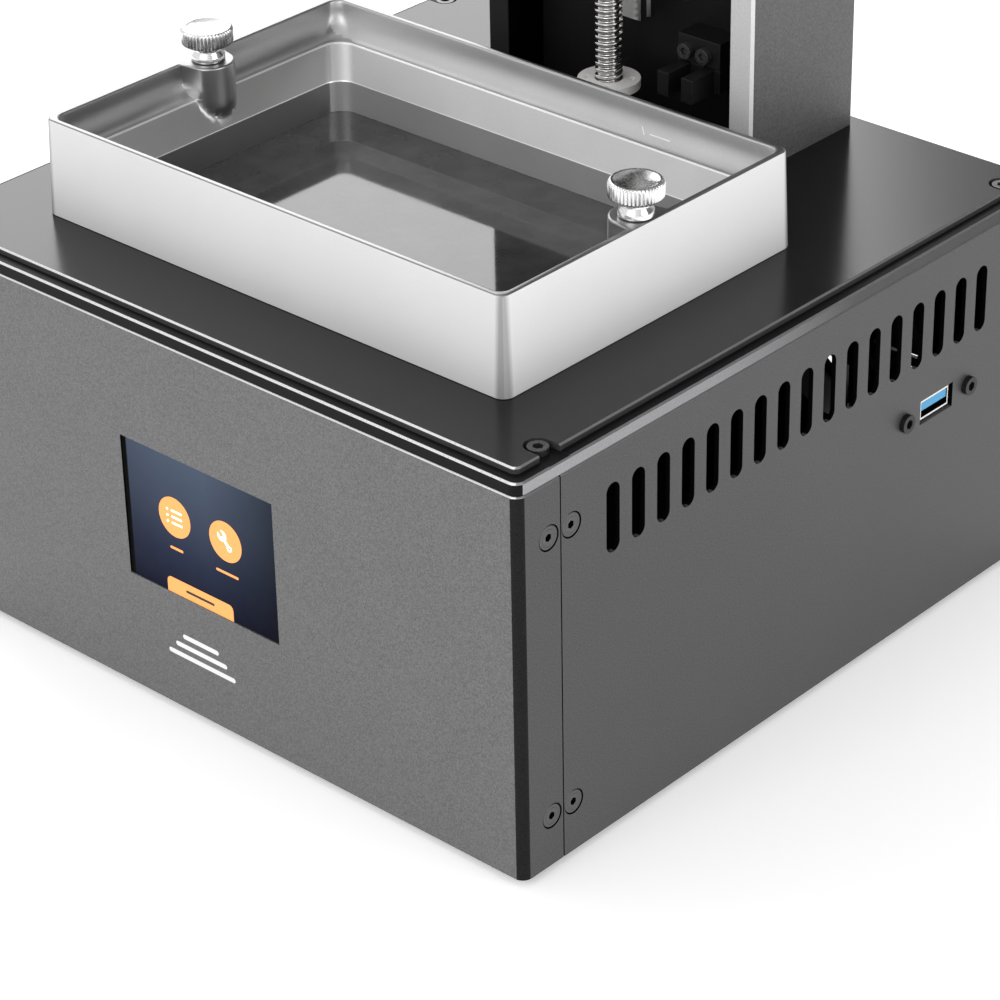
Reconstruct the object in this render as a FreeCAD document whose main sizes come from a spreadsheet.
"""Desktop resin printer: sheet-metal base, resin vat, column with lead screw and a raised build platform.

Frame: +Z up, +X to the right, +Y to the back; the origin is the middle of the base on the surface that
the feet stand on. All sizes are in millimetres and are driven by the cells of the sheet "dims".
"""
import FreeCAD, Part
import math
import os
import Sketcher
from FreeCAD import Vector

CELLS = {
    # base
    "base_width": 226.0, "base_depth": 224.0, "cover_height": 113.4, "foot_height": 2.5,
    "sheet_thick": 1.5, "sheet_chamfer": 0.4, "corner_round": 3.0, "seam_setback": 15.4, "seam_gap": 0.4,
    "foot_radius": 8.0, "foot_inset": 18.0,
    # deck
    "ledge_thick": 3.85, "step_thick": 1.8, "step_inset": 3.6, "deck_gap": 0.35,
    "deck_screw_x": 105.5, "deck_screw_front": -96.0, "deck_screw_back": 98.5,
    "notch_round": 3.7, "notch_sink": 0.1,
    # side vents, seam screws and socket
    "vent_count": 17.0, "vent_first": -76.7, "vent_pitch": 9.8, "vent_width": 5.1, "vent_length": 20.0,
    "vent_level": 92.9, "rocker_tilt": 9.0,
    "seam_screw_ahead": 4.2, "seam_screw_low": 15.2, "seam_screw_high": 97.8,
    "usb_middle": 61.2, "usb_level": 67.6, "usb_width": 15.0, "usb_tall": 7.6, "usb_screw_reach": 14.5,
    # display
    "screen_middle": -1.9, "screen_level": 58.2, "screen_width": 57.6, "screen_tall": 43.2,
    "screen_gap": 0.15, "screen_sink": 0.3,
    # vat
    "vat_width": 170.1, "vat_depth": 115.8, "vat_middle": -27.4, "vat_height": 28.5, "vat_round": 3.3,
    "vat_draft": 2.0, "rim_width": 2.7, "cove_floor": 19.0, "cove_round": 6.4, "well_top": 10.0,
    "well_width": 142.8, "well_depth": 88.4, "ridge_width": 153.6, "well_round": 6.0,
    "boss_reach": 78.8, "boss_radius": 7.4, "thumb_radius": 7.5, "thumb_shank": 2.45,
    # column
    "column_width": 98.5, "column_front": 57.05, "column_deep": 47.45, "column_height": 281.0,
    "column_wall": 2.5, "strip_width": 8.0, "strip_bevel": 0.8, "cap_thick": 2.5,
    "spine_front": 68.8, "spine_thick": 8.0, "spine_width": 76.0,
    "rail_width": 9.0, "rail_thick": 6.2, "rail_low": 154.6, "rail_length": 230.0,
    "screw_middle": 54.0, "screw_radius": 4.0, "screw_low": 104.0, "screw_length": 291.0, "run_gap": 0.06,
    # carriage and build platform, drawn at the top of the travel
    "platform_low": 312.0, "platform_width": 130.0, "platform_depth": 78.0, "platform_thick": 12.0,
    "mount_tall": 18.0, "arm_width": 40.0, "arm_thick": 12.0, "arm_tall": 44.0, "slide_gap": 0.3,
    "block_width": 20.0, "block_length": 29.0, "knob_radius": 18.0, "knob_tall": 18.0,
}

doc = FreeCAD.newDocument("resin_printer")
sheet = doc.addObject("Spreadsheet::Sheet", "dims")
for row, (alias, number) in enumerate(CELLS.items(), start=1):
    sheet.set(f"A{row}", alias)
    sheet.set(f"B{row}", str(number))
    sheet.setAlias(f"B{row}", alias)
doc.recompute()

# Levels and places that several pieces share, as expressions on the sheet
SHEET_LOW = "dims.foot_height"
SHEET_TOP = "(dims.foot_height + dims.cover_height)"
LEDGE_TOP = "(dims.foot_height + dims.cover_height + dims.ledge_thick)"
DECK_TOP = "(dims.foot_height + dims.cover_height + dims.ledge_thick + dims.step_thick)"
COLUMN_TOP = f"({DECK_TOP} + dims.column_height)"
ARM_LOW = "(dims.platform_low + dims.platform_thick + dims.mount_tall + dims.slide_gap)"
BLOCK_FACE = "(dims.spine_front - dims.rail_thick - 3.5)"
SEAM = "(-dims.base_depth / 2 + dims.seam_setback)"
UP, RIGHT, BACK = Vector(0, 0, 1), Vector(1, 0, 0), Vector(0, 1, 0)
TURNS = {"z": FreeCAD.Rotation(), "x": FreeCAD.Rotation(BACK, 90), "y": FreeCAD.Rotation(RIGHT, -90)}

nodes = []
scratch_count = 0


def number(expression):
    """The value of an expression on the sheet."""
    return float(sheet.evalExpression(str(expression)))


def spare_name():
    """A name for an object that is only a step towards a sub-part."""
    global scratch_count
    scratch_count += 1
    return f"step_{scratch_count}"


def finish(label, thing):
    """Make an object the sub-part called label."""
    thing.Label = label
    nodes.append(thing)
    return thing


def place(thing, x, y, z, axis="z"):
    """Put an object at a point given by expressions, with its own Z turned to an axis."""
    thing.Placement = FreeCAD.Placement(Vector(0, 0, 0), TURNS[axis])
    for coordinate, expression in zip("xyz", (x, y, z)):
        thing.setExpression(f"Placement.Base.{coordinate}", str(expression))
    return thing


def box(width, depth, height, x, y, z):
    """A box, centred on x and y, with its underside at z."""
    thing = doc.addObject("Part::Box", spare_name())
    thing.setExpression("Length", str(width))
    thing.setExpression("Width", str(depth))
    thing.setExpression("Height", str(height))
    return place(thing, f"({x}) - ({width}) / 2", f"({y}) - ({depth}) / 2", z)


def cylinder(radius, height, x, y, z, axis="z"):
    """A cylinder that starts at the point and runs along the axis."""
    thing = doc.addObject("Part::Cylinder", spare_name())
    thing.setExpression("Radius", str(radius))
    thing.setExpression("Height", str(height))
    return place(thing, x, y, z, axis)


def cone(radius_start, radius_end, height, x, y, z, axis="z"):
    """A truncated cone that starts at the point and runs along the axis."""
    thing = doc.addObject("Part::Cone", spare_name())
    thing.setExpression("Radius1", str(radius_start))
    thing.setExpression("Radius2", str(radius_end))
    thing.setExpression("Height", str(height))
    return place(thing, x, y, z, axis)


def hexagon(across_flats, height, x, y, z, axis="z"):
    """A hexagonal prism, for sockets in screw heads."""
    thing = doc.addObject("Part::Prism", spare_name())
    thing.Polygon = 6
    thing.setExpression("Circumradius", f"({across_flats}) / 1.732")
    thing.setExpression("Height", str(height))
    return place(thing, x, y, z, axis)


def fuse(*things):
    """One solid from several that meet."""
    thing = doc.addObject("Part::MultiFuse", spare_name())
    thing.Shapes = list(things)
    thing.Refine = True
    return thing


def group(*things):
    """Separate solids kept together in one sub-part."""
    thing = doc.addObject("Part::Compound", spare_name())
    thing.Links = list(things)
    return thing


def cut(base, *tools):
    """Take the tools out of the base."""
    thing = doc.addObject("Part::Cut", spare_name())
    thing.Base = base
    thing.Tool = tools[0] if len(tools) == 1 else group(*tools)
    thing.Refine = True
    return thing


def common(base, tool):
    """What the two objects share."""
    thing = doc.addObject("Part::Common", spare_name())
    thing.Base = base
    thing.Tool = tool
    return thing


def edge_work(kind, base, size, chosen):
    """Fillet or chamfer the edges of base that chosen(edge) picks."""
    doc.recompute()
    thing = doc.addObject(kind, spare_name())
    thing.Base = base
    thing.Edges = [(i, size, size) for i, edge in enumerate(base.Shape.Edges, start=1) if chosen(edge)]
    return thing


def fillet(base, size, chosen):
    return edge_work("Part::Fillet", base, size, chosen)


def chamfer(base, size, chosen):
    return edge_work("Part::Chamfer", base, size, chosen)


def upright(edge):
    """Is this a straight edge along Z?"""
    start, end = edge.Vertexes[0].Point, edge.Vertexes[-1].Point
    return len(edge.Vertexes) == 2 and abs(end.z - start.z) > 0.5 and math.hypot(end.x - start.x,
                                                                                 end.y - start.y) < 0.01


def level_at(z):
    """A test for edges that lie flat at height z."""
    return lambda edge: abs(edge.BoundBox.ZMin - z) < 0.01 and abs(edge.BoundBox.ZMax - z) < 0.01


def rounded_box(width, depth, height, x, y, z, radius):
    """A box whose upright edges are rounded."""
    return fillet(box(width, depth, height, x, y, z), number(radius), upright)


def new_body(label):
    """An empty PartDesign body."""
    return finish(label, doc.addObject("PartDesign::Body", label))


def origin_plane(body, role):
    """One of a body's own origin planes, by its role."""
    return next(item for item in body.Origin.OriginFeatures if item.Role == role)


def new_sketch(body, role, offset="0"):
    """A sketch on an origin plane of the body, moved along the plane's normal."""
    sketch = body.newObject("Sketcher::SketchObject", spare_name())
    sketch.AttachmentSupport = (origin_plane(body, role), [""])
    sketch.MapMode = "FlatFace"
    sketch.setExpression("AttachmentOffset.Base.z", str(offset))
    return sketch


def pin_point(sketch, geometry, vertex, x, y):
    """Hold one point of a sketch at expressions measured from the sketch's origin."""
    for kind, expression in (("DistanceX", x), ("DistanceY", y)):
        index = sketch.addConstraint(Sketcher.Constraint(kind, -1, 1, geometry, vertex, number(expression)))
        sketch.setExpression(f"Constraints[{index}]", str(expression))


def draw_outline(sketch, points):
    """A closed outline of straight lines, with every corner held by expressions."""
    corners = [Vector(number(x), number(y), 0) for x, y in points]
    first = None
    for start, end in zip(corners, corners[1:] + corners[:1]):
        line = sketch.addGeometry(Part.LineSegment(start, end), False)
        first = line if first is None else first
    last = first + len(corners) - 1
    for line in range(first, last + 1):
        follower = first if line == last else line + 1
        sketch.addConstraint(Sketcher.Constraint("Coincident", line, 2, follower, 1))
    for line, (x, y) in enumerate(points, start=first):
        pin_point(sketch, line, 1, x, y)


def draw_rectangle(sketch, width, height, x, y):
    """A rectangle centred on a point."""
    left, right = f"({x}) - ({width}) / 2", f"({x}) + ({width}) / 2"
    low, high = f"({y}) - ({height}) / 2", f"({y}) + ({height}) / 2"
    draw_outline(sketch, [(left, low), (right, low), (right, high), (left, high)])


def draw_circle(sketch, radius, x, y):
    """A circle whose centre and radius are held by expressions."""
    centre = Vector(number(x), number(y), 0)
    circle = sketch.addGeometry(Part.Circle(centre, Vector(0, 0, 1), number(radius)), False)
    pin_point(sketch, circle, 3, x, y)
    index = sketch.addConstraint(Sketcher.Constraint("Radius", circle, number(radius)))
    sketch.setExpression(f"Constraints[{index}]", str(radius))


def draw_upright_slot(sketch, width, length, x, y):
    """A slot with round ends, standing along the sketch's Y."""
    radius, reach = number(width) / 2, (number(length) - number(width)) / 2
    centre = Vector(number(x), number(y), 0)
    top, low = centre + Vector(0, reach, 0), centre - Vector(0, reach, 0)
    side = Vector(radius, 0, 0)
    normal = Vector(0, 0, 1)
    upper = sketch.addGeometry(Part.ArcOfCircle(Part.Circle(top, normal, radius), 0, math.pi), False)
    left = sketch.addGeometry(Part.LineSegment(top - side, low - side), False)
    lower_arc = Part.ArcOfCircle(Part.Circle(low, normal, radius), math.pi, 2 * math.pi)
    lower = sketch.addGeometry(lower_arc, False)
    right = sketch.addGeometry(Part.LineSegment(low + side, top + side), False)
    for first, first_end, second, second_end in ((upper, 2, left, 1), (left, 2, lower, 1),
                                                 (lower, 2, right, 1), (right, 2, upper, 1)):
        sketch.addConstraint(Sketcher.Constraint("Tangent", first, first_end, second, second_end))
    reach_text = f"(({length}) - ({width})) / 2"
    pin_point(sketch, upper, 3, x, f"({y}) + {reach_text}")
    pin_point(sketch, lower, 3, x, f"({y}) - {reach_text}")
    index = sketch.addConstraint(Sketcher.Constraint("Radius", upper, radius))
    sketch.setExpression(f"Constraints[{index}]", f"({width}) / 2")


def pad(body, sketch, length, taper=None):
    """Raise a sketch into a solid."""
    feature = body.newObject("PartDesign::Pad", spare_name())
    feature.Profile = sketch
    feature.setExpression("Length", str(length))
    if taper:
        feature.setExpression("TaperAngle", str(taper))
    doc.recompute()
    return feature


def pocket(body, sketch, depth):
    """Cut a sketch into the solid behind it, and make sure that it did cut."""
    before = body.Shape.Volume
    feature = body.newObject("PartDesign::Pocket", spare_name())
    feature.Profile = sketch
    feature.setExpression("Length", str(depth))
    doc.recompute()
    if body.Shape.Volume > before - 0.01:
        raise RuntimeError(f"a pocket of {body.Label} cuts nothing")
    return feature


def dress(body, kind, size_property, size, chosen):
    """Fillet or chamfer chosen edges of a body's tip."""
    tip = body.Tip
    names = [f"Edge{i}" for i, edge in enumerate(tip.Shape.Edges, start=1) if chosen(edge)]
    feature = body.newObject(kind, spare_name())
    feature.Base = (tip, names)
    feature.setExpression(size_property, str(size))
    doc.recompute()
    return feature


def revolve(body, points):
    """A turned piece: an outline of (radius, height) points about the body's own Z axis."""
    sketch = new_sketch(body, "XZ_Plane")
    draw_outline(sketch, points)
    feature = body.newObject("PartDesign::Revolution", spare_name())
    feature.Profile = sketch
    feature.ReferenceAxis = (sketch, ["V_Axis"])
    feature.Angle = 360
    doc.recompute()
    return feature


def cap_screw(x, y, z, axis="z", head_radius=2.75, head_tall=2.6, shank_radius=1.5, shank_long=6, flip=1):
    """A socket-head screw: its head stands on the point, along the axis; its shank goes the other way."""
    shift = {"x": (1, 0, 0), "y": (0, 1, 0), "z": (0, 0, 1)}[axis]

    def along(distance):
        return [f"({c}) + ({distance * flip * s})" for c, s in zip((x, y, z), shift)]
    head_start = 0 if flip > 0 else head_tall
    shank_start = -shank_long if flip > 0 else 0
    socket_start = head_tall - 1.4 if flip > 0 else head_tall + 0.1
    head = cylinder(head_radius, head_tall, *along(head_start), axis)
    shank = cylinder(shank_radius, shank_long + 0.01, *along(shank_start), axis)
    socket = hexagon(head_radius * 0.9, 1.5, *along(socket_start), axis)
    return cut(fuse(head, shank), socket)


# ---------------------------------------------------------------- base: tray, feet, covers

def make_base_tray():
    """Folded tray that closes the base from below, with the posts, strips and stand-offs welded to it."""
    inside = "(2 * dims.sheet_thick + 0.3)"
    width, depth = f"dims.base_width - {inside}", f"dims.base_depth - {inside}"
    outer = rounded_box(width, depth, 12, 0, 0, SHEET_LOW, "1.6")
    inner = rounded_box(f"{width} - 3", f"{depth} - 3", 12, 0, 0, "dims.foot_height + 1.5", "1")
    slots = [rounded_box(4, 40, 4, 8 * i, "dims.vat_middle", "dims.foot_height - 1", "1.9")
             for i in range(-3, 4)]
    floor = "dims.foot_height + 1"
    posts = []
    for side, x, y in deck_screw_places():
        post = box(9, 9, "dims.cover_height - 1.6", f"({x}) - {side * 1.5}", y, floor)
        posts.append(cut(post, cylinder(1.6, 14, x, y, f"{SHEET_TOP} - 12")))
    strip_x = "(dims.base_width / 2 - dims.sheet_thick - 1.6)"
    strips = [box(3, 24, "dims.cover_height - 9", f"{side} * {strip_x}", SEAM, f"{SHEET_LOW} + 8")
              for side in (-1, 1)]
    screw_ways = [cylinder(1.55, 8, f"{side} * (dims.base_width / 2 - 4) - 4", y, z, "x")
                  for side, y, z in seam_screw_places()]
    stands = [cut(cylinder(3, f"{BOARD_Z} - 3.55", x, y, 3.5), cylinder(1.4, 6, x, y, f"{BOARD_Z} - 5"))
              for x, y in board_corners()]
    finish("base_tray", cut(fuse(cut(outer, inner, *slots), *posts, *strips, *stands), *screw_ways))


def make_rubber_feet():
    """Low round feet under the corners of the tray."""
    feet = [cone("dims.foot_radius - 0.8", "dims.foot_radius", "dims.foot_height",
                 f"{sx} * (dims.base_width / 2 - dims.foot_inset)",
                 f"{sy} * (dims.base_depth / 2 - dims.foot_inset)", 0)
            for sx in (-1, 1) for sy in (-1, 1)]
    finish("rubber_feet", group(*feet))


def seam_screw_places():
    """(side, y, z) of the eight countersunk screws beside the two seams."""
    for side in (-1, 1):
        for ahead in (-1, 1):
            for level in ("dims.seam_screw_low", "dims.seam_screw_high"):
                yield side, f"{SEAM} + {ahead} * dims.seam_screw_ahead", f"{SHEET_LOW} + {level}"


def countersinks(ahead):
    """Conical holes for the seam screws ahead of the seam (-1) or behind it (+1)."""
    tools = []
    for side, y, z in seam_screw_places():
        if (number(y) > number(SEAM)) != (ahead > 0):
            continue
        start = "dims.base_width / 2 - 2.2" if side > 0 else "-dims.base_width / 2 - 0.1"
        ends = (1.4, 3.75) if side > 0 else (3.75, 1.4)
        tools.append(cone(*ends, 2.3, start, y, z, "x"))
    return tools


def outer_top(edge):
    """Whether an edge is on the upper outer rim of a cover, and not across the end of its sheet."""
    bounds = edge.BoundBox
    side = min(number("dims.base_width / 2") - bounds.XMax, number("dims.base_width / 2") + bounds.XMin)
    end = min(number("dims.base_depth / 2") - bounds.YMax, number("dims.base_depth / 2") + bounds.YMin)
    level = number(SHEET_TOP)
    return (abs(bounds.ZMin - level) < 0.01 and abs(bounds.ZMax - level) < 0.01 and min(side, end) < 0.01
            and edge.Length > number("dims.sheet_thick") + 0.1)


def make_front_cover():
    """U-shaped front cover with the display window; it wraps round both front corners to the seams."""
    body = doc.addObject("PartDesign::Body", "front_cover_shell")
    sketch = new_sketch(body, "XY_Plane", SHEET_LOW)
    half, front, wall = "dims.base_width / 2", "-dims.base_depth / 2", "dims.sheet_thick"
    draw_outline(sketch, [
        (f"-{half}", front), (half, front), (half, SEAM), (f"{half} - {wall}", SEAM),
        (f"{half} - {wall}", f"{front} + {wall}"), (f"-{half} + {wall}", f"{front} + {wall}"),
        (f"-{half} + {wall}", SEAM), (f"-{half}", SEAM)])
    pad(body, sketch, "dims.cover_height")

    def outer_corner(edge):
        return upright(edge) and edge.BoundBox.YMin < number(front) + 0.1

    def inner_corner(edge):
        return upright(edge) and abs(edge.BoundBox.YMin - number(f"{front} + {wall}")) < 0.1
    dress(body, "PartDesign::Fillet", "Radius", "dims.corner_round", outer_corner)
    dress(body, "PartDesign::Fillet", "Radius", "dims.corner_round - dims.sheet_thick", inner_corner)
    dress(body, "PartDesign::Chamfer", "Size", "dims.sheet_chamfer", outer_top)
    window = new_sketch(body, "XZ_Plane", "dims.base_depth / 2")
    draw_rectangle(window, "dims.screen_width", "dims.screen_tall", "dims.screen_middle",
                   f"{SHEET_LOW} + dims.screen_level")
    pocket(body, window, "dims.sheet_thick + 1")
    studs = [cylinder(2.8, 4.8, x, f"{INNER_FRONT} - 0.2", z, "y") for x, z in display_corners()]
    holes = [cylinder(1.55, 6, x, f"{INNER_FRONT} + 0.5", z, "y") for x, z in display_corners()]
    finish("front_cover", cut(fuse(body, *studs), *countersinks(-1), *holes))


INNER_FRONT = "(-dims.base_depth / 2 + dims.sheet_thick)"
SCREEN_Z = f"({SHEET_LOW} + dims.screen_level)"


def display_corners():
    """(x, z) of the four studs that hold the display's board."""
    return [(f"dims.screen_middle + {sx} * (dims.screen_width / 2 + 10)",
             f"{SCREEN_Z} + {sz} * (dims.screen_tall / 2)") for sx in (-1, 1) for sz in (-1, 1)]


def make_rear_cover():
    """Right side, back and left side of the base, folded from one sheet, with the vents and cut-outs."""
    body = doc.addObject("PartDesign::Body", "rear_cover_shell")
    sketch = new_sketch(body, "XY_Plane", SHEET_LOW)
    half, back, wall = "dims.base_width / 2", "dims.base_depth / 2", "dims.sheet_thick"
    start = f"{SEAM} + dims.seam_gap"
    draw_outline(sketch, [
        (f"-{half}", start), (f"-{half} + {wall}", start), (f"-{half} + {wall}", f"{back} - {wall}"),
        (f"{half} - {wall}", f"{back} - {wall}"), (f"{half} - {wall}", start), (half, start),
        (half, back), (f"-{half}", back)])
    pad(body, sketch, "dims.cover_height")

    def outer_corner(edge):
        return upright(edge) and edge.BoundBox.YMax > number(back) - 0.1

    def inner_corner(edge):
        return upright(edge) and abs(edge.BoundBox.YMax - number(f"{back} - {wall}")) < 0.1
    dress(body, "PartDesign::Fillet", "Radius", "dims.corner_round", outer_corner)
    dress(body, "PartDesign::Fillet", "Radius", "dims.corner_round - dims.sheet_thick", inner_corner)
    dress(body, "PartDesign::Chamfer", "Size", "dims.sheet_chamfer", outer_top)
    vent = new_sketch(body, "YZ_Plane", "dims.base_width / 2")
    draw_upright_slot(vent, "dims.vent_width", "dims.vent_length", "dims.vent_first",
                      f"{SHEET_LOW} + dims.vent_level")
    slot = pocket(body, vent, "dims.base_width")
    row = body.newObject("PartDesign::LinearPattern", spare_name())
    row.Originals = [slot]
    row.Direction = (vent, ["H_Axis"])
    row.setExpression("Length", "(dims.vent_count - 1) * dims.vent_pitch")
    row.Occurrences = int(number("dims.vent_count"))
    body.Tip = row
    doc.recompute()
    usb = new_sketch(body, "YZ_Plane", "dims.base_width / 2")
    draw_rectangle(usb, "dims.usb_width", "dims.usb_tall", "dims.usb_middle", f"{SHEET_LOW} + dims.usb_level")
    for side in (-1, 1):
        draw_circle(usb, 1.6, f"dims.usb_middle + {side} * dims.usb_screw_reach",
                    f"{SHEET_LOW} + dims.usb_level")
    pocket(body, usb, "dims.sheet_thick + 1")
    holes = [cylinder(5.6, 5, INLET_X, f"{back} - 3", INLET_Z, "y"),
             box(SWITCH_WIDE, 6, SWITCH_TALL, SWITCH_X, back, f"{SWITCH_Z} - {SWITCH_TALL} / 2")]
    holes += rear_fan_openings()
    finish("rear_cover", cut(body, *countersinks(1), *holes))


# Rear-panel places: fan, inlet and switch, seen from behind
REAR_FAN_X, REAR_FAN_Z, FAN_SIZE, FAN_THICK = "55", "58", "60", "15"
INLET_X, INLET_Z = "-62", "30"
SWITCH_X, SWITCH_Z, SWITCH_WIDE, SWITCH_TALL = "-88", "30", "13", "19"


def rear_fan_openings():
    """Rings of air slots in front of the rear fan, with four screw holes round them."""
    back = "dims.base_depth / 2 - 3"
    tools = []
    for outer, inner in ((26.5, 21.5), (18.5, 13.5), (10.5, 6)):
        ring = cut(cylinder(outer, 5, REAR_FAN_X, back, REAR_FAN_Z, "y"),
                   cylinder(inner, 5, REAR_FAN_X, back, REAR_FAN_Z, "y"))
        bars = group(box(4, 8, 60, REAR_FAN_X, "dims.base_depth / 2", f"{REAR_FAN_Z} - 30"),
                     box(60, 8, 4, REAR_FAN_X, "dims.base_depth / 2", f"{REAR_FAN_Z} - 2"))
        tools.append(cut(ring, bars))
    for sx in (-25, 25):
        for sz in (-25, 25):
            tools.append(cylinder(1.7, 5, f"{REAR_FAN_X} + {sx}", back, f"{REAR_FAN_Z} + {sz}", "y"))
    return tools


def make_seam_screws():
    """Countersunk socket screws, two above and two below on each side, flush with the sheet."""
    screws = []
    for side, y, z in seam_screw_places():
        face = "dims.base_width / 2 - 0.1"
        if side > 0:
            head = cone(1.5, 3.45, 1.45, f"{face} - 1.45", y, z, "x")
            shank = cylinder(1.5, 4.7, f"{face} - 6.1", y, z, "x")
            socket = hexagon(2, 1.1, f"{face} - 1", y, z, "x")
        else:
            head = cone(3.45, 1.5, 1.45, f"-({face})", y, z, "x")
            shank = cylinder(1.5, 4.7, f"-({face}) + 1.4", y, z, "x")
            socket = hexagon(2, 1.1, f"-({face}) - 0.1", y, z, "x")
        screws.append(cut(fuse(head, shank), socket))
    finish("seam_screws", group(*screws))


# ---------------------------------------------------------------- deck

def deck_screw_places():
    for side in (-1, 1):
        for y in ("dims.deck_screw_front", "dims.deck_screw_back"):
            yield side, f"{side} * dims.deck_screw_x", y


NOTCH_FLOOR = f"({LEDGE_TOP} - dims.notch_sink)"


def make_deck_plate():
    """Black deck: a ledge all round for the lift-off hood, and a raised step with notches at its screws."""
    low = f"{SHEET_TOP} + dims.deck_gap"
    ledge = rounded_box("dims.base_width", "dims.base_depth", "dims.ledge_thick - dims.deck_gap", 0, 0, low,
                        "dims.corner_round")
    ledge = chamfer(ledge, 0.5, level_at(number(LEDGE_TOP)))
    skirt = rounded_box("dims.base_width - 2 * dims.sheet_thick - 0.4",
                        "dims.base_depth - 2 * dims.sheet_thick - 0.4", "dims.deck_gap + 0.6", 0, 0,
                        f"{SHEET_TOP} - 0.5", "1.4")
    step = rounded_box("dims.base_width - 2 * dims.step_inset", "dims.base_depth - 2 * dims.step_inset",
                       "dims.step_thick + 0.5", 0, 0, f"{LEDGE_TOP} - 0.5", "dims.corner_round - 1")
    step = chamfer(step, 0.45, level_at(number(DECK_TOP)))
    notches = []
    for side, x, y in deck_screw_places():
        notches.append(cylinder("dims.notch_round", 5, x, y, NOTCH_FLOOR))
        notches.append(box(12, "2 * dims.notch_round", 5, f"({x}) + {6 * side}", y, NOTCH_FLOOR))
    through = [rounded_box(131, 77, 12, 0, "dims.vat_middle", f"{SHEET_TOP} - 3", "0.8"),
               cylinder(5.2, 12, 0, "dims.screw_middle", f"{SHEET_TOP} - 3"),
               rounded_box(30, 14, 12, 0, "dims.column_front + 34", f"{SHEET_TOP} - 3", "3")]
    through += [cylinder(1.6, 12, x, y, f"{SHEET_TOP} - 3") for side, x, y in deck_screw_places()]
    through += [cylinder("dims.thumb_shank + dims.run_gap", 12, f"{side} * dims.boss_reach",
                         "dims.vat_middle", f"{SHEET_TOP} - 3")
                for side in (-1, 1)]
    through += [cylinder(2.15, 12, x, SPINE_MIDDLE, f"{SHEET_TOP} - 3") for x in SPINE_SCREWS]
    finish("deck_plate", cut(fuse(ledge, skirt, step), *notches, *through))


SPINE_MIDDLE = "(dims.spine_front + dims.spine_thick / 2)"
SPINE_SCREWS = (-33.5, -14, 14, 33.5)


def make_deck_screws():
    """Button-head screws in the notches of the deck, and the same two in the lid of the column."""
    places = [(x, y, NOTCH_FLOOR) for side, x, y in deck_screw_places()]
    places += [(x, y, f"{COLUMN_TOP} + dims.cap_thick") for x, y in CAP_SCREWS]
    finish("deck_screws", group(*[cap_screw(x, y, z, head_radius=2.8, head_tall=1.7, shank_long=9)
                                  for x, y, z in places]))


# ---------------------------------------------------------------- display and socket

def make_display():
    """Touch glass whose raised middle fills the window, with the display module and its board behind it."""
    plate = box("dims.screen_width + 6", 1.1, "dims.screen_tall + 6", "dims.screen_middle",
                f"{INNER_FRONT} + 0.65", f"{SCREEN_Z} - dims.screen_tall / 2 - 3")
    raised = box("dims.screen_width - 2 * dims.screen_gap", "dims.sheet_thick + 0.4 - dims.screen_sink",
                 "dims.screen_tall - 2 * dims.screen_gap", "dims.screen_middle",
                 f"{INNER_FRONT} + 0.4 - (dims.sheet_thick + 0.4 - dims.screen_sink) / 2",
                 f"{SCREEN_Z} - dims.screen_tall / 2 + dims.screen_gap")
    finish("display_glass", fuse(plate, raised))
    finish("display_module", box("dims.screen_width + 9", 3.2, "dims.screen_tall + 7", "dims.screen_middle",
                                 f"{INNER_FRONT} + 2.9", f"{SCREEN_Z} - dims.screen_tall / 2 - 3.5"))
    board = box("dims.screen_width + 27", 1.6, "dims.screen_tall + 7", "dims.screen_middle",
                f"{INNER_FRONT} + 5.5", f"{SCREEN_Z} - dims.screen_tall / 2 - 3.5")
    holes = [cylinder(1.6, 4, x, f"{INNER_FRONT} + 4", z, "y") for x, z in display_corners()]
    finish("display_board", cut(board, *holes))


def make_usb():
    """Panel-mounted USB socket: plated shell with two ears, plastic tongue and two panel screws."""
    face = "dims.base_width / 2"
    level = f"({SHEET_LOW} + dims.usb_level)"
    shell = box(18, "dims.usb_width - 1.6", "dims.usb_tall - 1.6", f"{face} - 9.8", "dims.usb_middle",
                f"{level} - (dims.usb_tall - 1.6) / 2")
    ears = box(2, 40, 11, f"{face} - dims.sheet_thick - 1.05", "dims.usb_middle", f"{level} - 5.5")
    hollow = box(17.5, "dims.usb_width - 3.0", "dims.usb_tall - 3.0", f"{face} - 9", "dims.usb_middle",
                 f"{level} - (dims.usb_tall - 3.0) / 2")
    screw_y = [f"dims.usb_middle + {side} * dims.usb_screw_reach" for side in (-1, 1)]
    holes = [cylinder(1.55, 6, f"{face} - 5", y, level, "x") for y in screw_y]
    finish("usb_socket", cut(fuse(shell, ears), hollow, *holes))
    finish("usb_tongue", box(16.7, "dims.usb_width - 3.4", 2.6, f"{face} - 9.35", "dims.usb_middle",
                             f"{level} - 0.4"))
    screws = [cap_screw(face, y, level, "x", 2.75, 1.6, 1.5, 5) for y in screw_y]
    finish("usb_screws", group(*screws))


# ---------------------------------------------------------------- vat

FILM_LOW = f"({DECK_TOP} + 0.35)"
FILM_THICK = 0.25
LIP_EXTRA = 5.0


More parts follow.
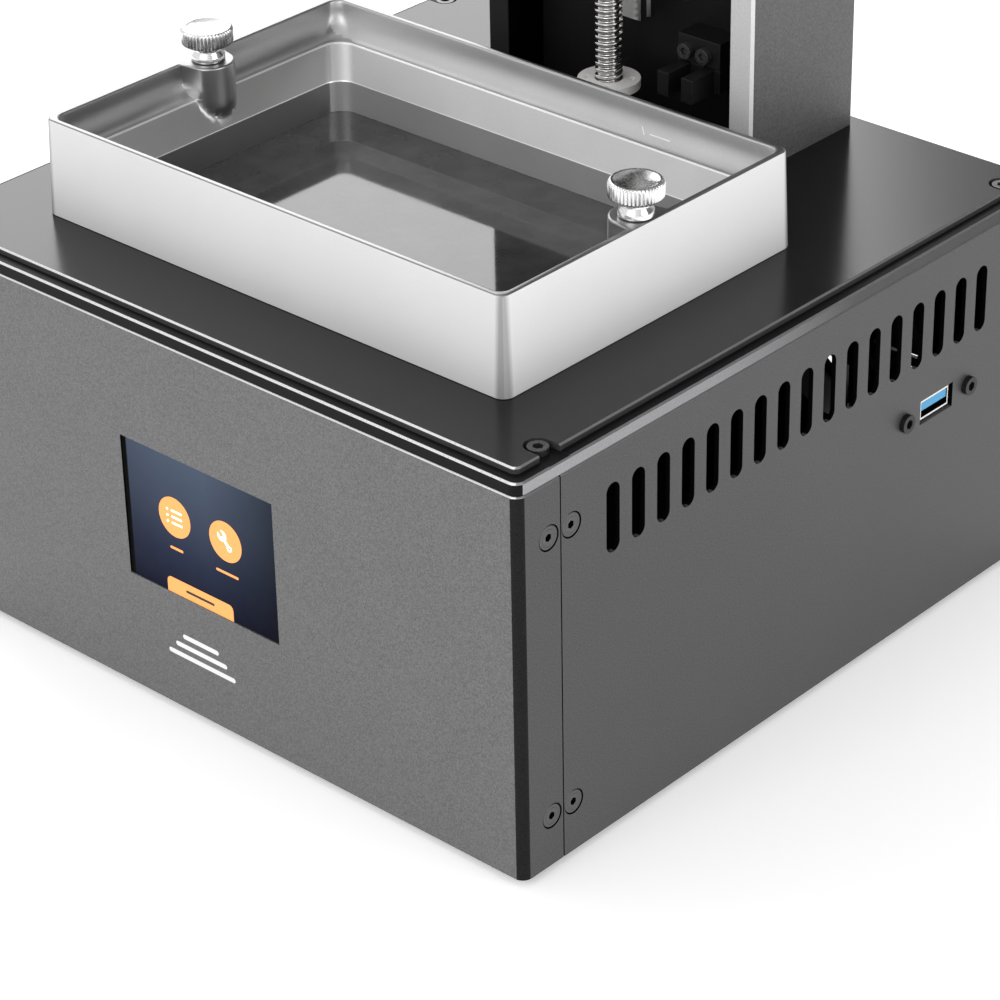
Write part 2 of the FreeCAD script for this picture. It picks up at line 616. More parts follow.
def make_vat_body():
    """Tray with a drafted wall, a cove under the rim, a steep band below the ridge and two screw bosses."""
    body = doc.addObject("PartDesign::Body", "vat_block")
    sketch = new_sketch(body, "XY_Plane", DECK_TOP)
    draw_rectangle(sketch, "dims.vat_width", "dims.vat_depth", 0, "dims.vat_middle")
    pad(body, sketch, "dims.vat_height", "-dims.vat_draft")
    dress(body, "PartDesign::Fillet", "Radius", "dims.vat_round",
          lambda edge: abs(edge.BoundBox.ZLength - number("dims.vat_height")) < 0.01)
    rim = number(f"{DECK_TOP} + dims.vat_height")
    dress(body, "PartDesign::Fillet", "Radius", "0.6", level_at(rim))
    cove = rounded_box("dims.vat_width - 2 * dims.rim_width", "dims.vat_depth - 2 * dims.rim_width", 20, 0,
                       "dims.vat_middle", f"{DECK_TOP} + dims.cove_floor", "dims.vat_round + 0.7")
    cove_floor = number(f"{DECK_TOP} + dims.cove_floor")
    cove = fillet(cove, number("dims.cove_round"), level_at(cove_floor))
    band = doc.addObject("PartDesign::Body", "vat_band")
    low = new_sketch(band, "XY_Plane", f"{DECK_TOP} + dims.well_top")
    draw_rectangle(low, "dims.well_width", "dims.well_depth", 0, "dims.vat_middle")
    rise = "dims.cove_floor - dims.well_top"
    spread = "atan(((dims.ridge_width - dims.well_width) / 2) / (dims.cove_floor - dims.well_top))"
    pad(band, low, rise, spread)
    tilted = [edge for edge in band.Shape.Edges if edge.BoundBox.ZLength > 1]
    dress(band, "PartDesign::Fillet", "Radius", "dims.well_round",
          lambda edge: any(edge.isSame(other) for other in tilted) or edge.BoundBox.ZLength > 1)
    well = rounded_box("dims.well_width", "dims.well_depth", "dims.well_top + 1.1", 0, "dims.vat_middle",
                       f"{DECK_TOP} - 1", "dims.well_round - 0.1")
    lip_width, lip_depth = f"dims.well_width + {LIP_EXTRA}", f"dims.well_depth + {LIP_EXTRA}"
    groove = cut(rounded_box(f"{lip_width} + 10", f"{lip_depth} + 10", 5, 0, "dims.vat_middle",
                             f"{DECK_TOP} - 1", "4"),
                 rounded_box(lip_width, lip_depth, 8, 0, "dims.vat_middle", f"{DECK_TOP} - 2", "4"))
    under = box(f"{lip_width} + 1", f"{lip_depth} + 1", 1.62, 0, "dims.vat_middle", f"{DECK_TOP} - 1")
    tray = cut(body, cove, band, well, groove, under)
    bosses, bores = [], []
    for side in (-1, 1):
        x = f"{side} * dims.boss_reach"
        post = cylinder("dims.boss_radius", 10.5, x, "dims.vat_middle", f"{DECK_TOP} + 18")
        ball = doc.addObject("Part::Sphere", spare_name())
        ball.setExpression("Radius", "dims.boss_radius")
        place(ball, x, "dims.vat_middle", f"{DECK_TOP} + 18")
        bosses.append(common(fuse(post, ball), body))
        bores.append(cylinder("dims.thumb_shank + dims.run_gap", 40, x, "dims.vat_middle",
                              f"{DECK_TOP} - 1"))
    holes = [cylinder(1.0, 8, x, y, f"{DECK_TOP} + 2") for x, y in clamp_screw_places()]
    finish("vat_body", cut(fuse(tray, *bosses), *bores, *holes))


def clamp_screw_places():
    """Screws of the film clamp, spread along the middle of the clamp frame."""
    reach_x = number(f"(dims.well_width + {LIP_EXTRA}) / 2 + 2.6")
    reach_y = number(f"(dims.well_depth + {LIP_EXTRA}) / 2 + 2.6")
    middle = number("dims.vat_middle")
    places = [(share * reach_x, middle + side * reach_y)
              for side in (-1, 1) for share in (-0.6, -0.2, 0.2, 0.6)]
    places += [(side * reach_x, middle + share * reach_y)
               for side in (-1, 1) for share in (-0.75, -0.3, 0.3, 0.75)]
    return places


def make_vat_film():
    """Release film stretched like a drum skin over the lip of the vat, with its edge turned up."""
    width, depth = f"dims.well_width + {LIP_EXTRA}", f"dims.well_depth + {LIP_EXTRA}"
    outer = rounded_box(f"{width} + 0.6", f"{depth} + 0.6", 3, 0, "dims.vat_middle", FILM_LOW, "4.2")
    inner = rounded_box(f"{width} + 0.1", f"{depth} + 0.1", 6, 0, "dims.vat_middle",
                        f"{FILM_LOW} + {FILM_THICK}", "4")
    finish("vat_film", cut(outer, inner))


def make_film_clamp():
    """Frame and screws that hold the film's edge in the groove under the vat."""
    width, depth = f"dims.well_width + {LIP_EXTRA}", f"dims.well_depth + {LIP_EXTRA}"
    outer = rounded_box(f"{width} + 9.4", f"{depth} + 9.4", 3.2, 0, "dims.vat_middle",
                        f"{DECK_TOP} + 0.5", "3.8")
    inner = rounded_box(f"{width} + 0.9", f"{depth} + 0.9", 6, 0, "dims.vat_middle", f"{DECK_TOP} - 1", "4")
    holes = [cone(2.0, 1.05, 1.2, x, y, f"{DECK_TOP} + 0.45") for x, y in clamp_screw_places()]
    holes += [cylinder(1.05, 6, x, y, f"{DECK_TOP} + 0.45") for x, y in clamp_screw_places()]
    holes += [cylinder("dims.thumb_shank + 0.3", 6, f"{side} * dims.boss_reach", "dims.vat_middle", DECK_TOP)
              for side in (-1, 1)]
    finish("film_clamp_frame", cut(outer, inner, *holes))
    screws = []
    for x, y in clamp_screw_places():
        head = cone(1.9, 1.0, 1.0, x, y, f"{DECK_TOP} + 0.55")
        shank = cylinder(0.95, 6, x, y, f"{DECK_TOP} + 1.5")
        screws.append(fuse(head, shank))
    finish("film_clamp_screws", group(*screws))


def make_thumb_screw(label, side):
    """Thumb screw that ties the vat to the deck: dished head, waist, flange and shank."""
    body = new_body(label)
    rim = "dims.vat_height"
    revolve(body, [("0", "-4"), ("dims.thumb_shank", "-4"), ("dims.thumb_shank", f"{rim} + 0.05"),
                   ("4.75", f"{rim} + 0.05"),
                   ("4.9", f"{rim} + 1.5"), ("3.9", f"{rim} + 2.9"), ("4.3", f"{rim} + 4.6"),
                   ("dims.thumb_radius - 0.8", f"{rim} + 5"), ("dims.thumb_radius", f"{rim} + 5.6"),
                   ("dims.thumb_radius", f"{rim} + 9.4"), ("dims.thumb_radius - 0.8", f"{rim} + 10"),
                   ("dims.thumb_radius - 1.4", f"{rim} + 10"), ("1.6", f"{rim} + 9.3"),
                   ("0", f"{rim} + 9.3")])
    place(body, f"{side} * dims.boss_reach", "dims.vat_middle", DECK_TOP)


# ---------------------------------------------------------------- exposure unit under the deck

LAMP_X = "0"
LAMP_Y = "dims.vat_middle"


def make_exposure_unit():
    """Masking LCD, its frame, light shroud, lens plate, LED board, heatsink and fan."""
    finish("lcd_panel", box(130, 76, 2, LAMP_X, LAMP_Y, f"{DECK_TOP} - 1.9"))
    upstand = box(130, 76, 3.7, LAMP_X, LAMP_Y, f"{DECK_TOP} - 5.7")
    flange = rounded_box(150, 96, 2.2, LAMP_X, LAMP_Y, f"{SHEET_TOP} - 2.75", "4")
    riser = box(130, 76, 3, LAMP_X, LAMP_Y, f"{SHEET_TOP} - 2")
    opening = box(122, 69, 20, LAMP_X, LAMP_Y, f"{SHEET_TOP} - 8")
    finish("lcd_frame", cut(fuse(upstand, riser, flange), opening))
    finish("light_shroud", make_shroud())
    finish("uv_lens", rounded_box(62, 62, 4, LAMP_X, LAMP_Y, 56.7, "3"))
    finish("uv_led_board", box(70, 70, 1.6, LAMP_X, LAMP_Y, 55))
    base = box(70, 70, 4, LAMP_X, LAMP_Y, 50.9)
    fins = [box(1.6, 70, 18.1, 6.6 * i, LAMP_Y, 32.9) for i in range(-5, 6)]
    finish("led_heatsink", fuse(base, *fins))
    make_fan("led_fan", LAMP_X, LAMP_Y, "17.8", "z")


def make_shroud():
    """Hollow pyramid from the lens plate up to the LCD frame, with a skirt round the LED board."""
    def wedge(low_x, low_y, high_x, high_y, low, high):
        thing = doc.addObject("Part::Wedge", spare_name())
        thing.Xmin, thing.Xmax = -low_x / 2, low_x / 2
        thing.Zmin, thing.Zmax = -low_y / 2, low_y / 2
        thing.Ymin, thing.Ymax = low, high
        thing.X2min, thing.X2max = -high_x / 2, high_x / 2
        thing.Z2min, thing.Z2max = -high_y / 2, high_y / 2
        thing.Placement = FreeCAD.Placement(Vector(0, number(LAMP_Y), 0), FreeCAD.Rotation(RIGHT, 90))
        return thing
    top = number(f"{SHEET_TOP} - 2.85")
    skirt = cut(box(74, 74, 11.4, LAMP_X, LAMP_Y, 50.9), box(70.3, 70.3, 20, LAMP_X, LAMP_Y, 40.85))
    return cut(fuse(wedge(66, 66, 128, 75, 60.8, top), skirt), wedge(62, 62, 124, 71, 60.7, top + 0.1))


def make_fan(label, x, y, z, axis):
    """Square fan: frame with a round duct, and a seven-blade rotor that spins in it."""
    if axis == "z":
        block = rounded_box(FAN_SIZE, FAN_SIZE, f"{FAN_THICK} - 0.1", x, y, z, "4")
    else:
        block = doc.addObject("Part::Box", spare_name())
        block.setExpression("Length", FAN_SIZE)
        block.setExpression("Width", f"{FAN_THICK} - 0.1")
        block.setExpression("Height", FAN_SIZE)
        place(block, f"{x} - {FAN_SIZE} / 2", y, f"{z} - {FAN_SIZE} / 2")

    def along(distance):
        return (x, y, f"({z}) + {distance}") if axis == "z" else (x, f"({y}) + {distance}", z)
    duct = cylinder(28.2, 20, *along(-1), axis)
    if axis == "z":
        struts = [box(3, 58, 1.5, x, y, z), box(58, 3, 1.5, x, y, z)]
    else:
        strut_y = f"({y}) + 0.75"
        struts = [box(3, 1.5, 58, x, strut_y, f"({z}) - 29"), box(58, 1.5, 3, x, strut_y, f"({z}) - 1.5")]
    hub_seat = cylinder(9, 1.5, *along(0), axis)
    corner = 25
    if axis == "z":
        places = [(f"({x}) + {sx * corner}", f"({y}) + {sy * corner}", f"({z}) - 1")
                  for sx in (-1, 1) for sy in (-1, 1)]
    else:
        places = [(f"({x}) + {sx * corner}", f"({y}) - 1", f"({z}) + {sy * corner}")
                  for sx in (-1, 1) for sy in (-1, 1)]
    holes = [cylinder(1.7, 20, *where, axis) for where in places]
    finish(f"{label}_frame", cut(fuse(cut(block, duct), *struts, hub_seat), *holes))
    hub = cylinder(10, 10.6, *along(2.2), axis)
    blades = []
    for turn in range(7):
        blade = doc.addObject("Part::Box", spare_name())
        blade.Length, blade.Width, blade.Height = 18, 1.2, 9.4
        tilt = FreeCAD.Rotation(RIGHT, 38)
        spin = FreeCAD.Rotation(UP, 360 / 7 * turn)
        shape_turn = TURNS[axis].multiply(spin).multiply(tilt)
        start = TURNS[axis].multiply(spin).multVec(Vector(8.6, -0.6, 0))
        seat = [number(c) for c in along(2.8)]
        lift = TURNS[axis].multVec(Vector(0, 0, 1.2))
        blade.Placement = FreeCAD.Placement(Vector(*seat) + start + lift, shape_turn)
        blades.append(blade)
    finish(f"{label}_rotor", fuse(hub, *blades))


# ---------------------------------------------------------------- electronics and rear panel

BOARD_X, BOARD_Y, BOARD_Z = "-62", "54", "12"


def board_corners():
    """(x, y) of the stand-offs under the main board."""
    return [(f"{BOARD_X} + {sx * 33}", f"{BOARD_Y} + {sy * 43}") for sx in (-1, 1) for sy in (-1, 1)]


def make_electronics():
    """Main board with the components soldered to it."""
    board = box(74, 94, 1.6, BOARD_X, BOARD_Y, BOARD_Z)
    top = f"{BOARD_Z} + 1.5"
    parts = [box(14, 14, 2.4, -62, 52, top), box(20, 20, 11, -40, 70, top), box(9, 9, 6, -82, 30, top),
             box(8, 26, 9, -93, 64, top), box(26, 8, 9, -60, 94, top), box(26, 8, 9, -66, 13, top),
             cylinder(5, 14, -40, 30, top), cylinder(5, 14, -40, 44, top), box(10, 14, 7, -80, 78, top)]
    holes = [cylinder(1.6, 6, x, y, f"{BOARD_Z} - 2") for x, y in board_corners()]
    finish("mainboard", cut(fuse(board, *parts), *holes))


def make_rear_fittings():
    """DC inlet, power switch and rear fan on the back of the base."""
    back = "(dims.base_depth / 2)"
    inner = f"({back} - dims.sheet_thick)"
    flange = cylinder(7.4, 1.6, INLET_X, f"{back} - 0.15", INLET_Z, "y")
    barrel = cylinder(5.4, 13, INLET_X, f"{back} - 12.9", INLET_Z, "y")
    bore = cylinder(3.2, 10, INLET_X, f"{back} - 8.4", INLET_Z, "y")
    pin = cylinder(1.05, 8, INLET_X, f"{back} - 8.5", INLET_Z, "y")
    seat_gap = cut(cylinder(8, 0.3, INLET_X, f"{back} - 0.2", INLET_Z, "y"),
                   cylinder(5.4, 0.4, INLET_X, f"{back} - 0.25", INLET_Z, "y"))
    finish("power_inlet", fuse(cut(fuse(flange, barrel), bore, seat_gap), pin))
    bezel = box(15, 1.6, 21, SWITCH_X, f"{back} + 0.9", f"{SWITCH_Z} - 10.5")
    well = box(12.6, 13, 18.6, SWITCH_X, f"{back} - 5", f"{SWITCH_Z} - 9.3")
    hollow = box(10.4, 12, 16.4, SWITCH_X, f"{back} - 3", f"{SWITCH_Z} - 8.2")
    finish("power_switch_housing", cut(fuse(bezel, well), hollow))
    rocker = new_body("power_rocker")
    sketch = new_sketch(rocker, "YZ_Plane", "-4.8")
    draw_outline(sketch, [("-1.2", "-5.5"), ("2", "-6.9"), ("7", "-6.9"), ("5.9", "0"), ("7", "6.9"),
                          ("2", "6.9"), ("-1.2", "5.5")])
    pad(rocker, sketch, "9.6")
    tilt = FreeCAD.Rotation(RIGHT, -number("dims.rocker_tilt"))
    rocker.Placement = FreeCAD.Placement(Vector(0, 0, 0), tilt)
    for coordinate, expression in zip("xyz", (SWITCH_X, f"{back} - 6.2", SWITCH_Z)):
        rocker.setExpression(f"Placement.Base.{coordinate}", expression)
    make_fan("rear_fan", REAR_FAN_X, f"{inner} - {FAN_THICK}", REAR_FAN_Z, "y")
    screws = []
    for sx in (-25, 25):
        for sz in (-25, 25):
            screws.append(cap_screw(f"{REAR_FAN_X} + {sx}", back, f"{REAR_FAN_Z} + {sz}", "y",
                                    2.9, 1.5, 1.5, 12))
    finish("rear_fan_screws", group(*screws))


# ---------------------------------------------------------------- column, screw drive and endstop

def make_column_housing():
    """C-shaped housing: back, two sides and two front strips that frame the open channel."""
    body = doc.addObject("PartDesign::Body", "column_shell")
    sketch = new_sketch(body, "XY_Plane", f"{DECK_TOP} + 0.05")
    half, wall = "dims.column_width / 2", "dims.column_wall"
    front, back = "dims.column_front", "(dims.column_front + dims.column_deep)"
    lip = "(dims.column_width / 2 - dims.strip_width)"
    draw_outline(sketch, [
        (f"-{lip}", front), (f"-{half}", front), (f"-{half}", back), (half, back), (half, front),
        (lip, front), (lip, f"{front} + {wall}"), (f"{half} - {wall}", f"{front} + {wall}"),
        (f"{half} - {wall}", f"{back} - {wall}"), (f"-{half} + {wall}", f"{back} - {wall}"),
        (f"-{half} + {wall}", f"{front} + {wall}"), (f"-{lip}", f"{front} + {wall}")])
    pad(body, sketch, "dims.column_height - 0.1")

    def outer_front(edge):
        return (upright(edge) and abs(abs(edge.BoundBox.XMin) - number(half)) < 0.05
                and edge.BoundBox.YMax < number(front) + 0.1)

    def outer_back(edge):
        return (upright(edge) and abs(abs(edge.BoundBox.XMin) - number(half)) < 0.05
                and edge.BoundBox.YMax > number(back) - 0.1)
    dress(body, "PartDesign::Chamfer", "Size", "dims.strip_bevel", outer_front)
    dress(body, "PartDesign::Fillet", "Radius", "2", outer_back)
    finish("column_housing", body)


CAP_SCREWS = ((-32, 84), (32, 84))


def make_column_cap():
    """Lid of the column, tied to the spine's tabs."""
    middle = "dims.column_front + dims.column_deep / 2"
    lid = rounded_box("dims.column_width", "dims.column_deep", "dims.cap_thick", 0, middle, COLUMN_TOP, "1.5")
    lid = chamfer(lid, 0.7, level_at(number(f"{COLUMN_TOP} + dims.cap_thick")))
    holes = [cylinder(1.6, 10, x, y, f"{COLUMN_TOP} - 4") for x, y in CAP_SCREWS]
    finish("column_cap", cut(lid, *holes))


def make_spine():
    """Stiff plate that stands on the deck, carries the rail and takes the column's lid on two tabs."""
    plate = box("dims.spine_width", "dims.spine_thick", "dims.column_height - 1", 0, SPINE_MIDDLE,
                f"{DECK_TOP} + 0.05")
    tabs = [box(14, 16, 10, x, f"{y} - 0.5", f"{COLUMN_TOP} - 11") for x, y in CAP_SCREWS]
    holes = [cylinder(1.6, 9, x, y, f"{COLUMN_TOP} - 8") for x, y in CAP_SCREWS]
    holes += [cylinder(1.3, 8, 0, f"{SPINE_FRONT} - 0.5", z, "y") for z in rail_screw_levels()]
    holes += [cylinder(2.1, 14, x, SPINE_MIDDLE, f"{DECK_TOP} - 1") for x in SPINE_SCREWS]
    holes += [cylinder(1.3, 7, x, f"{SPINE_FRONT} - 0.5", ENDSTOP_SCREW_Z, "y") for x in ENDSTOP_SCREW_X]
    holes += [cylinder(1.3, 7, x, f"{SPINE_FRONT} - 0.5", TOP_SCREW_Z, "y") for x in TOP_SCREW_X]
    finish("column_spine", cut(fuse(plate, *tabs), *holes))
    screws = [cap_screw(x, SPINE_MIDDLE, f"{SHEET_TOP} - {3.6 if abs(x) > 20 else 0.55}", "z", 3.4, 3.6, 2.0,
                        17, flip=-1) for x in SPINE_SCREWS]
    finish("spine_screws", group(*screws))


SPINE_FRONT = "dims.spine_front"
ENDSTOP_SCREW_X, ENDSTOP_SCREW_Z = (23.9, 30.4), "152.1"
TOP_SCREW_X, TOP_SCREW_Z = (-10.5, 10.5), "393"


def rail_screw_levels():
    """Heights of the rail's screws, one every 40 mm."""
    start = number("dims.rail_low") + 15
    return [start + 40 * i for i in range(6)]


def rail_profile(width, thick):
    """Closed outline of the rail across its length: a block with a waist on each side."""
    return [(-width / 2, 0), (width / 2, 0), (width / 2, thick * 0.28), (width / 2 - 0.9, thick * 0.42),
            (width / 2 - 0.9, thick * 0.6), (width / 2, thick * 0.74), (width / 2, thick),
            (-width / 2, thick), (-width / 2, thick * 0.74), (-width / 2 + 0.9, thick * 0.6),
            (-width / 2 + 0.9, thick * 0.42), (-width / 2, thick * 0.28)]


def make_rail():
    """Profiled linear rail on the spine, with its counterbored screws, and the block that runs on it."""
    body = doc.addObject("PartDesign::Body", "rail_bar")
    sketch = new_sketch(body, "XY_Plane", "dims.rail_low")
    width, thick = number("dims.rail_width"), number("dims.rail_thick")
    outline = [(x, f"dims.spine_front - dims.rail_thick * {y / thick}")
               for x, y in rail_profile(width, thick)]
    draw_outline(sketch, outline)
    pad(body, sketch, "dims.rail_length")
    face = "dims.spine_front - dims.rail_thick"
    levels = rail_screw_levels()
    bores = [cylinder(3.0, 3.4, 0, f"{face} - 0.1", z, "y") for z in levels]
    bores += [cylinder(1.7, 9, 0, f"{face} - 0.1", z, "y") for z in levels]
    finish("linear_rail", cut(body, *bores))
    finish("rail_screws", group(*[cap_screw(0, f"{face} + 3.25", z, "y", 2.75, 2.9, 1.25, 7, flip=-1)
                                  for z in levels]))
    low = f"{ARM_LOW} + 11.7"
    shell = box("dims.block_width", "dims.rail_thick + 2.4", "dims.block_length", 0,
                f"{BLOCK_FACE} + (dims.rail_thick + 2.4) / 2", low)
    channel = box("dims.rail_width + 0.6", "dims.rail_thick + 4", "dims.block_length + 4", 0,
                  f"{face} - 0.3 + (dims.rail_thick + 4) / 2", f"{low} - 2")
    holes = [cylinder(1.3, 3.2, x, f"{BLOCK_FACE} - 0.1", f"{low} + {z}", "y") for x, z in BLOCK_HOLES]
    finish("rail_block", cut(shell, channel, *holes))


BLOCK_HOLES = ((-7.4, 6.5), (7.4, 6.5), (-7.4, 22.5), (7.4, 22.5))


def make_screw_drive():
    """Motor under the deck, coupling, lead screw, foot bush, top bearing and the base's M3 screws."""
    middle = "dims.screw_middle"
    screw = cylinder("dims.screw_radius", "dims.screw_length", 0, middle, "dims.screw_low")
    finish("lead_screw", chamfer(screw, 0.8, lambda edge: edge.BoundBox.ZLength < 0.01))
    coupling = cylinder(9, 24, 0, middle, 90)
    bores = [cylinder("dims.screw_radius", 14, 0, middle, "dims.screw_low"),
             cylinder(2.5, 16, 0, middle, 89), box(20, 1.2, 30, 10, middle, 88)]
    finish("shaft_coupling", cut(coupling, *bores))
    finish("motor_shaft", cylinder(2.5, 19, 0, middle, 84.6))
    motor = rounded_box(42.3, 42.3, 34, 0, middle, 50, "4.5")
    boss = cylinder(11, 2, 0, middle, 84)
    shaft_hole = cylinder(2.6, 6, 0, middle, 82)
    tapped = [cylinder(1.6, 6, sx * 15.5, f"{middle} + {sy * 15.5}", 79) for sx in (-1, 1) for sy in (-1, 1)]
    finish("stepper_motor", cut(fuse(motor, boss), shaft_hole, *tapped))
    plate = box(50, 50, 3, 0, middle, 84.05)
    walls = [box(3, 50, 28.85, side * 26.45, middle, 84.05) for side in (-1, 1)]
    feet = [box(14, 50, 3, side * 32.5, middle, f"{SHEET_TOP} - 3.55") for side in (-1, 1)]
    bore = cylinder(11.2, 6, 0, middle, 83)
    slots = [cylinder(1.7, 6, sx * 15.5, f"{middle} + {sy * 15.5}", 83) for sx in (-1, 1) for sy in (-1, 1)]
    clear = [cylinder(2.1, 8, x, SPINE_MIDDLE, f"{SHEET_TOP} - 6") for x in SPINE_SCREWS if abs(x) > 20]
    finish("motor_bracket", cut(fuse(plate, *walls, *feet), bore, *slots, *clear))
    screws = [cap_screw(sx * 15.5, f"{middle} + {sy * 15.5}", 87.1, "z", 2.75, 2.4, 1.5, 6)
              for sx in (-1, 1) for sy in (-1, 1)]
    screws += [cap_screw(x, f"{INNER_FRONT} + 6.35", z, "y", 2.75, 2.4, 1.5, 5.6)
               for x, z in display_corners()]
    finish("inner_screws", group(*screws))
    flange_top = f"{DECK_TOP} + 17.6"
    barrel = cylinder(5.1, "17.6 + 4", 0, middle, f"{DECK_TOP} - 4")
    disc = cylinder(9.1, 2.6, 0, middle, f"{flange_top} - 2.6")
    run = cylinder("dims.screw_radius + dims.run_gap", 40, 0, middle, f"{DECK_TOP} - 10")
    pins = [cylinder(0.9, 4, 6.6 * math.cos(turn), f"{middle} + {6.6 * math.sin(turn)}", f"{flange_top} - 3")
            for turn in (0.6, 0.6 + math.pi / 2, 0.6 + math.pi, 0.6 + 3 * math.pi / 2)]
    finish("foot_bush", cut(fuse(barrel, disc), run, *pins))
    block = box(28, f"{SPINE_FRONT} - 46.05", 9, 0, f"(46 + {SPINE_FRONT} - 0.05) / 2", 388.5)
    top_run = cylinder("dims.screw_radius + dims.run_gap", 20, 0, middle, 384)
    holes = [cylinder(1.6, 30, x, 45, TOP_SCREW_Z, "y") for x in TOP_SCREW_X]
    finish("top_bearing_block", cut(block, top_run, *holes))


def make_endstop():
    """Optical endstop: a block on the spine, two screws and a forked sensor under the block."""
    front = "60"
    block = box(15, "dims.spine_front - 60.05", 7.9, 28, "(60 + dims.spine_front - 0.05) / 2", 148.7)
    holes = [cylinder(1.35, 14, x, "58", ENDSTOP_SCREW_Z, "y") for x in ENDSTOP_SCREW_X]
    finish("endstop_block", cut(block, *holes))
    finish("endstop_screws", group(*[cap_screw(x, front, ENDSTOP_SCREW_Z, "y", 2.3, 2.0, 1.25, 12, flip=-1)
                                     for x in ENDSTOP_SCREW_X]))
    body = box(15, 8, 7.1, 28, 64, 141.5)
    prongs = [box(3.9, 10.5, 7.1, x, 55.05, 141.5) for x in (23.35, 31.85)]
    finish("endstop_sensor", fuse(body, *prongs))


# ---------------------------------------------------------------- carriage and build platform

def make_carriage():
    """Arm bolted to the rail block, with the lead nut in it and the flag for the endstop beside it."""
    back = BLOCK_FACE
    riser = box("dims.arm_width", f"{back} - 38", "dims.arm_tall", 0, f"({back} + 38) / 2 - 0.02", ARM_LOW)
    heel = box("dims.arm_width", "24", "11.2", 0, f"{HEEL_BACK} - 12", ARM_LOW)
    beam = box("dims.arm_width", "90", "dims.arm_thick", 0, "0", ARM_LOW)
    web = box(8, 44, 24, 0, 18, f"{ARM_LOW} + dims.arm_thick - 1")
    slot = box(12.6, 40, 30, 0, "dims.vat_middle - 20 + 6.3", f"{ARM_LOW} - 5")
    bore = cylinder("dims.screw_radius + 0.5", 80, 0, "dims.screw_middle", f"{ARM_LOW} - 10")
    nut_seat = cylinder(5.15, 10.1, 0, "dims.screw_middle", f"{ARM_LOW} - 0.05")
    holes = [cylinder(1.4, 40, x, "30", f"{ARM_LOW} + 11.7 + {z}", "y") for x, z in BLOCK_HOLES]
    counter = [cylinder(3.1, 25, x, "30", f"{ARM_LOW} + 11.7 + {z}", "y") for x, z in BLOCK_HOLES]
    arm = cut(fuse(riser, heel, beam, web), slot, bore, nut_seat, *holes, *counter)
    finish("carriage_arm", chamfer(arm, 1.0, arm_rim))
    screws = [cap_screw(x, 55, f"{ARM_LOW} + 11.7 + {z}", "y", 2.5, 2.4, 1.25, 6.9, flip=-1)
              for x, z in BLOCK_HOLES]
    finish("arm_screws", group(*screws))
    nut_flange = cylinder(9.1, 3.5, 0, "dims.screw_middle", f"{ARM_LOW} - 3.55")
    flat = box(30, 10, 8, 0, "dims.screw_middle + 7.4 + 5", f"{ARM_LOW} - 6")
    barrel = cylinder(5.1, 13, 0, "dims.screw_middle", f"{ARM_LOW} - 3.05")
    run = cylinder("dims.screw_radius + dims.run_gap", 40, 0, "dims.screw_middle", f"{ARM_LOW} - 10")
    finish("lead_nut", cut(fuse(cut(nut_flange, flat), barrel), run))
    side = "(dims.arm_width / 2)"
    foot = box(0.8, 6, 9, f"{side} + 0.45", FLAG_Y, f"{ARM_LOW} + 5")
    shelf = box(8, 6, 0.8, f"{side} + 4.05", FLAG_Y, f"{ARM_LOW} + 5")
    blade = box(0.8, 6, 14.8, f"{side} + 7.65", FLAG_Y, f"{ARM_LOW} - 9")
    finish("endstop_flag", fuse(foot, shelf, blade))


FLAG_Y = "53.5"
HEEL_BACK = "(dims.spine_front - dims.rail_thick - 0.8)"


def arm_rim(edge):
    """Long straight outer edges of the arm's upper face."""
    straight = len(edge.Vertexes) == 2 and edge.Curve.TypeId == "Part::GeomLine"
    flat = edge.BoundBox.ZLength < 0.01
    top = abs(edge.BoundBox.ZMax - number(f"{ARM_LOW} + dims.arm_tall")) < 0.01
    return straight and flat and top and edge.BoundBox.YMax < 57 and edge.Length > 8


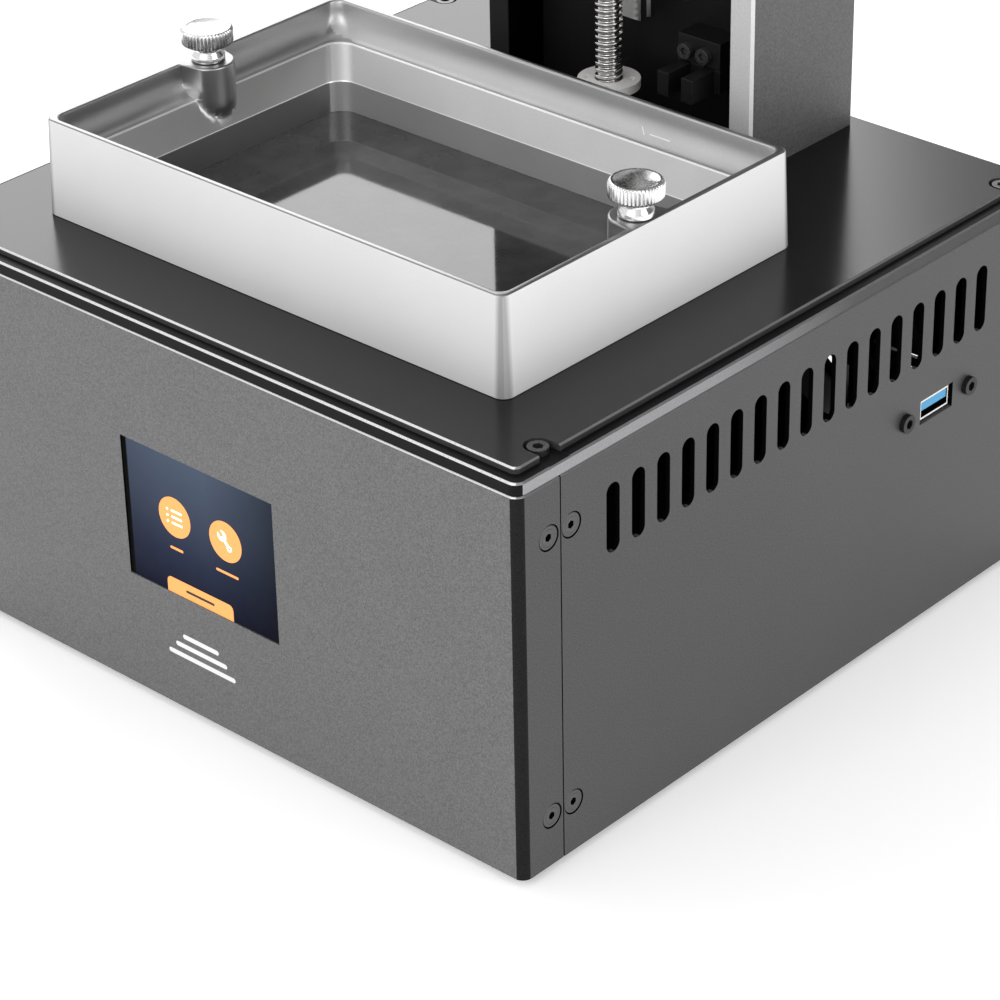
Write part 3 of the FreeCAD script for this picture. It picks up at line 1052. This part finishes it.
def make_platform():
    """Build plate, the mount that slides into the arm's fork, its levelling screws and the clamping knob."""
    low = "dims.platform_low"
    y = "dims.vat_middle"
    plate = rounded_box("dims.platform_width", "dims.platform_depth", "dims.platform_thick", 0, y, low, "3")
    plate = chamfer(plate, 1.2, level_at(number(f"{low} + dims.platform_thick")))
    dish = rounded_box("dims.platform_width - 12", "dims.platform_depth - 12", 6, 0, y, f"{low} + 7", "3")
    island = box(70, 50, 8, 0, y, f"{low} + 4")
    tray = fuse(cut(plate, dish), common(island, rounded_box(72, 52, 8, 0, y, f"{low} + 4", "2")))
    keep = box(200, 200, "dims.platform_thick", 0, y, low)
    corners = [(sx * 24, f"{y} + {sy * 15}") for sx in (-1, 1) for sy in (-1, 1)]
    holes = [cylinder(1.65, 8, x, cy, f"{low} + 4.5") for x, cy in corners]
    finish("platform_plate", cut(common(tray, keep), *holes))
    base_low = f"{low} + dims.platform_thick + 0.05"
    base = box(62, 42, "dims.mount_tall - 0.05", 0, y, base_low)
    shoulder = box(62, 42, 12, 0, y, f"{base_low} + 7")
    keep_core = box(34, 42, 12, 0, y, f"{base_low} + 7")
    neck = box(12, 12, "dims.arm_thick + dims.slide_gap", 0, y, f"{ARM_LOW} - dims.slide_gap - 0.01")
    stud = cylinder(4, 12, 0, y, f"{ARM_LOW} + dims.arm_thick - 0.02")
    through = [cylinder(1.7, 12, x, cy, f"{base_low} - 1") for x, cy in corners]
    finish("platform_mount", cut(fuse(cut(base, cut(shoulder, keep_core)), neck, stud), *through))
    finish("levelling_screws", group(*[cap_screw(x, cy, f"{base_low} + 7.05", "z", 3.2, 3.2, 1.6, 11)
                                       for x, cy in corners]))
    knob_low = f"{ARM_LOW} + dims.arm_thick + dims.slide_gap"
    knob = cylinder("dims.knob_radius", "dims.knob_tall", 0, y, knob_low)
    grips = [cylinder(3.2, "dims.knob_tall + 4", f"{(CELLS['knob_radius'] + 1.6) * math.cos(turn)}",
                      f"{y} + {(CELLS['knob_radius'] + 1.6) * math.sin(turn)}", f"{knob_low} - 2")
             for turn in [2 * math.pi * i / 10 for i in range(10)]]
    bore = cylinder("4.06", 12.6, 0, y, f"{knob_low} - 0.2")
    knob = chamfer(knob, 1.2, level_at(number(f"{knob_low} + dims.knob_tall")))
    finish("platform_knob", cut(knob, bore, *grips))


make_base_tray()
make_rubber_feet()
make_front_cover()
make_rear_cover()
make_seam_screws()
make_deck_plate()
make_deck_screws()
make_display()
make_usb()
make_vat_body()
make_vat_film()
make_film_clamp()
make_thumb_screw("thumb_screw_left", -1)
make_thumb_screw("thumb_screw_right", 1)
make_exposure_unit()
make_electronics()
make_rear_fittings()
make_column_housing()
make_column_cap()
make_spine()
make_rail()
make_screw_drive()
make_endstop()
make_carriage()
make_platform()

doc.recompute()
for thing in doc.Objects:
    if "Invalid" in thing.State or "Error" in thing.State:
        raise RuntimeError(f"{thing.Name} ({thing.Label}) failed: {thing.State}")
os.makedirs("parts", exist_ok=True)
for node in nodes:
    if node.Shape.isNull() or not node.Shape.isValid():
        raise RuntimeError(f"{node.Label} has no valid shape")
    node.Shape.exportStep(f"parts/{node.Label}.step")
    print(f"{node.Label}: {len(node.Shape.Solids)} solids, {node.Shape.Volume:.0f} mm3")
print(len(nodes), "sub-parts")
